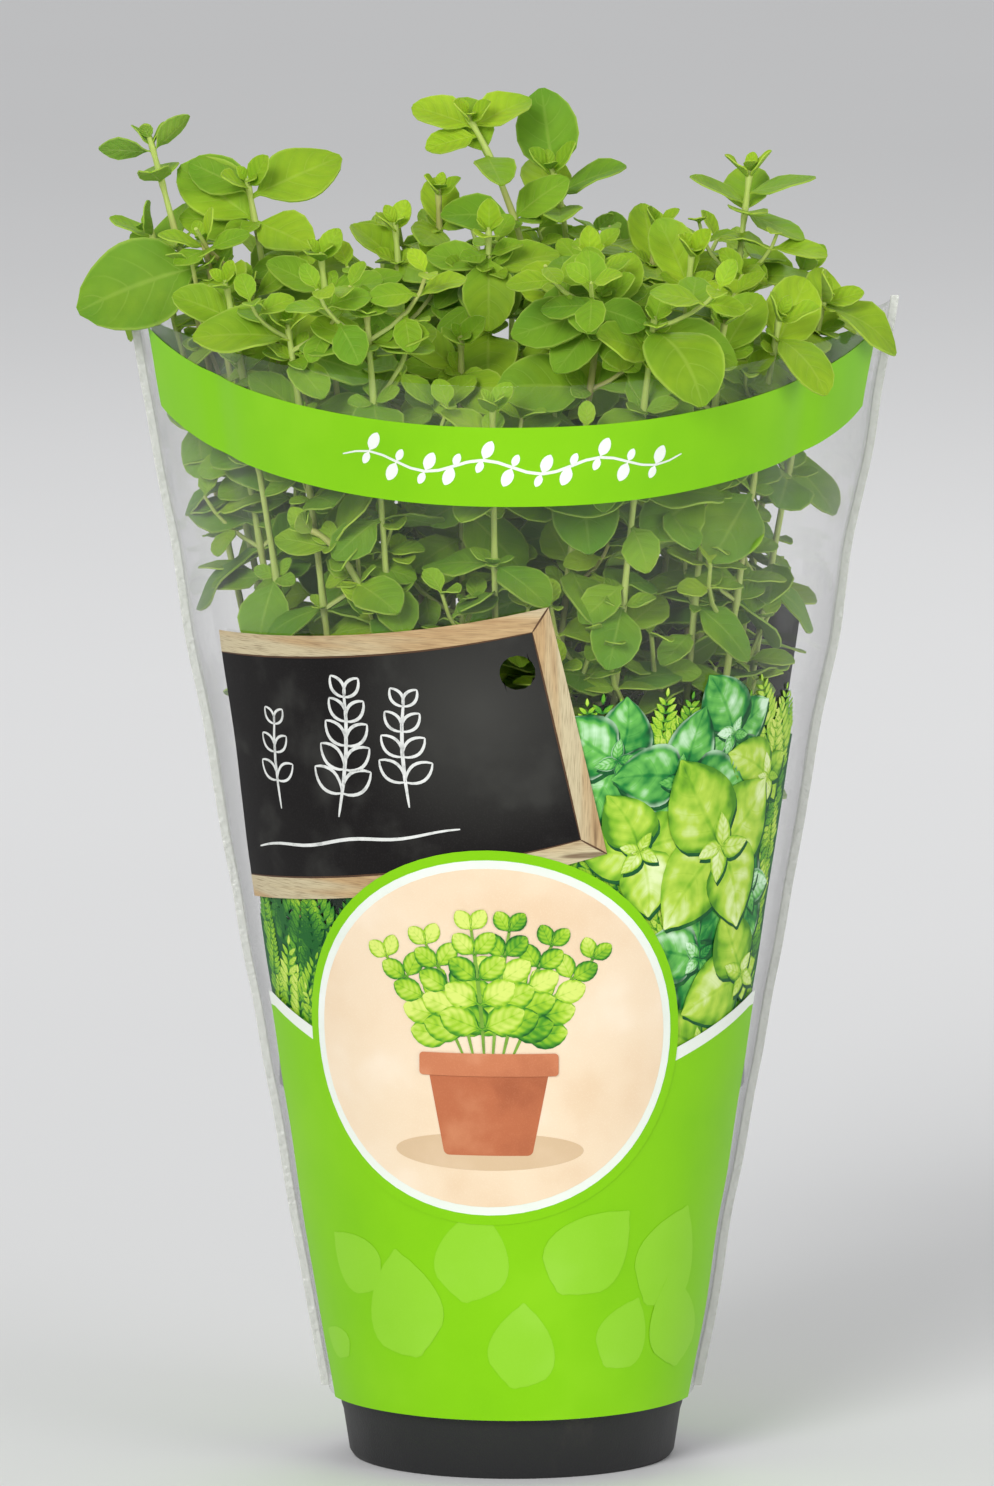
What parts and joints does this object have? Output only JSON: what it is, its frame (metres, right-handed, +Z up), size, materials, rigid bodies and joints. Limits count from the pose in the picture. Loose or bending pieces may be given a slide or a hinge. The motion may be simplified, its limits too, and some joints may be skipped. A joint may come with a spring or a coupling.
{
  "type": "potted marjoram plant",
  "caption": "Leafy marjoram shoots growing from soil in a black nursery pot, inside a clear flared film sleeve that hangs on the pot's lip.",
  "frame": {"origin": "centre of the pot's underside, on the surface that the pot stands on", "axes": "+Z up along the pot's axis, -Y towards the front panel of the sleeve, +X to the right as seen from the front"},
  "size_m": [0.2098, 0.1898, 0.352],
  "materials": {
    "pot_plastic": "satin",
    "potting_soil": "matte",
    "sleeve_film": "gloss",
    "marjoram_green": "matte"
  },
  "bodies": {
    "root": {"nursery_pot": "pot_plastic", "soil": "potting_soil", "sleeve_front_panel": "sleeve_film", "sleeve_back_panel": "sleeve_film", "marjoram_shoot_01": "marjoram_green", "marjoram_shoot_02": "marjoram_green", "marjoram_shoot_03": "marjoram_green", "marjoram_shoot_04": "marjoram_green", "marjoram_shoot_05": "marjoram_green", "marjoram_shoot_06": "marjoram_green", "marjoram_shoot_07": "marjoram_green", "marjoram_shoot_08": "marjoram_green", "marjoram_shoot_09": "marjoram_green", "marjoram_shoot_10": "marjoram_green", "marjoram_shoot_11": "marjoram_green", "marjoram_shoot_12": "marjoram_green", "marjoram_shoot_13": "marjoram_green", "marjoram_shoot_14": "marjoram_green", "marjoram_shoot_15": "marjoram_green", "marjoram_shoot_16": "marjoram_green", "marjoram_shoot_17": "marjoram_green", "marjoram_shoot_18": "marjoram_green", "marjoram_shoot_19": "marjoram_green", "marjoram_shoot_20": "marjoram_green", "marjoram_shoot_21": "marjoram_green", "marjoram_shoot_22": "marjoram_green", "marjoram_shoot_23": "marjoram_green", "marjoram_shoot_24": "marjoram_green", "marjoram_shoot_25": "marjoram_green", "marjoram_shoot_26": "marjoram_green", "marjoram_shoot_27": "marjoram_green", "marjoram_shoot_28": "marjoram_green", "marjoram_shoot_29": "marjoram_green", "marjoram_shoot_30": "marjoram_green", "marjoram_shoot_31": "marjoram_green", "marjoram_shoot_32": "marjoram_green", "marjoram_shoot_33": "marjoram_green"}
  },
  "joints": []
}
